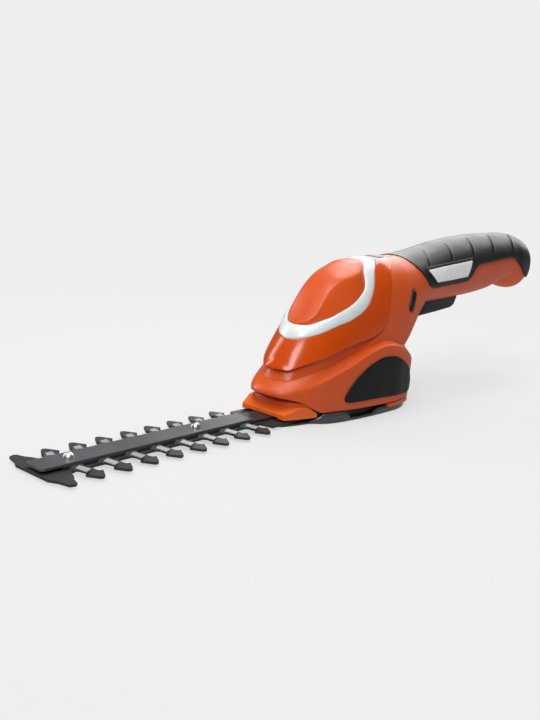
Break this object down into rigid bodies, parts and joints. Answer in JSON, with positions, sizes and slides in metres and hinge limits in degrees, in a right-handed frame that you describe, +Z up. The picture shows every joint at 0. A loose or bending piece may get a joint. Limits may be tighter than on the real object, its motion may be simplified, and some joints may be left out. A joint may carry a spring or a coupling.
{
  "type": "cordless grass shears",
  "caption": "Hand-held cordless shear with a closed-in handle, squeeze trigger, rounded motor nose over a flat sole, and a double-sided toothed trimming blade driven to and fro.",
  "frame": {"origin": "on the flat underside of the sole, in the middle plane, below the motor nose", "axes": "+X forward along the blade, +Y to the left side of the tool, +Z up from the sole"},
  "size_m": [0.452, 0.0672, 0.1039],
  "materials": {
    "housing_orange": "satin orange moulded plastic",
    "cover_orange": "gloss orange moulded plastic",
    "bright_trim": "satin silver plated plastic",
    "light_pane": "translucent grey light pane",
    "grip_rubber": "soft black overmoulded rubber",
    "label_white": "bare white plate",
    "badge_black": "bare satin black plate",
    "shoe_grey": "smoky grey glossy plastic",
    "carrier_black": "black glass filled plastic",
    "blade_steel": "ground and blackened blade steel",
    "bar_steel": "dark phosphated steel",
    "bright_steel": "bright steel",
    "rivet_chrome": "polished rivet heads",
    "gear_steel": "sintered steel",
    "board_green": "green circuit board",
    "cell_wrap": "blue shrink wrap",
    "control_black": "satin black plastic"
  },
  "bodies": {
    "housing": {"lower_housing": "housing_orange", "front_apron": "housing_orange", "housing_left": "housing_orange", "housing_right": "housing_orange", "nose_cover": "cover_orange", "trim_band": "bright_trim", "crown_insert": "housing_orange", "led_lens": "light_pane", "grip_overmould": "grip_rubber", "label_plate_left": "label_white", "badge_left": "badge_black", "shoe": "shoe_grey", "blade_carrier": "carrier_black", "latch_spring": "bright_steel", "fixed_comb": "blade_steel", "guide_bar": "bar_steel", "blade_rivets": "rivet_chrome", "gear_axle": "bright_steel", "gear_plate": "bright_steel", "motor": "bright_steel", "circuit_board": "board_green", "battery_cells": "cell_wrap", "cell_cradle": "carrier_black", "switch_module": "control_black", "trigger_pin": "bright_steel", "trigger_spring": "bright_steel", "lock_off_spring": "bright_steel", "charge_socket": "control_black", "housing_screws": "bright_steel"},
    "blade": {"moving_blade": "blade_steel"},
    "crank": {"crank_gear": "gear_steel"},
    "pinion": {"motor_pinion": "gear_steel"},
    "trigger": {"trigger": "control_black"},
    "lock_off": {"lock_off_button": "control_black"},
    "latch": {"shoe_latch": "housing_orange"}
  },
  "joints": [
    {"name": "crank_spin", "type": "hinge", "parent": "housing", "child": "crank", "pos_m": [0.005, 0, 0.012], "axis": [0, 0, 1], "range_deg": [-90, 90]},
    {"name": "pinion_spin", "type": "hinge", "parent": "housing", "child": "pinion", "pos_m": [-0.02012, 0, 0.012], "axis": [0, 0, 1], "range_deg": [-290, 290]},
    {"name": "blade_slide", "type": "slide", "parent": "housing", "child": "blade", "axis": [1, 0, 0], "range_m": [-0.00455, 0.00455]},
    {"name": "trigger_pull", "type": "hinge", "parent": "housing", "child": "trigger", "pos_m": [-0.089, 0, 0.065], "axis": [0, 1, 0], "range_deg": [0, 4.6], "stiffness_Nm_per_rad": 3, "springref_deg": -2.29, "deforming": ["trigger_spring"]},
    {"name": "lock_off_press", "type": "slide", "parent": "housing", "child": "lock_off", "axis": [0, -1, 0], "range_m": [0, 0.003], "stiffness_N_per_m": 400, "springref_m": -0.002, "deforming": ["lock_off_spring"]},
    {"name": "latch_push", "type": "slide", "parent": "housing", "child": "latch", "axis": [1, 0, 0], "range_m": [0, 0.0025], "stiffness_N_per_m": 600, "springref_m": -0.002, "deforming": ["latch_spring"]}
  ],
  "couplings": [
    {"joint": "crank_spin", "follows": "blade_slide", "rad_per_m": -344.83},
    {"joint": "pinion_spin", "follows": "blade_slide", "rad_per_m": 1092}
  ]
}
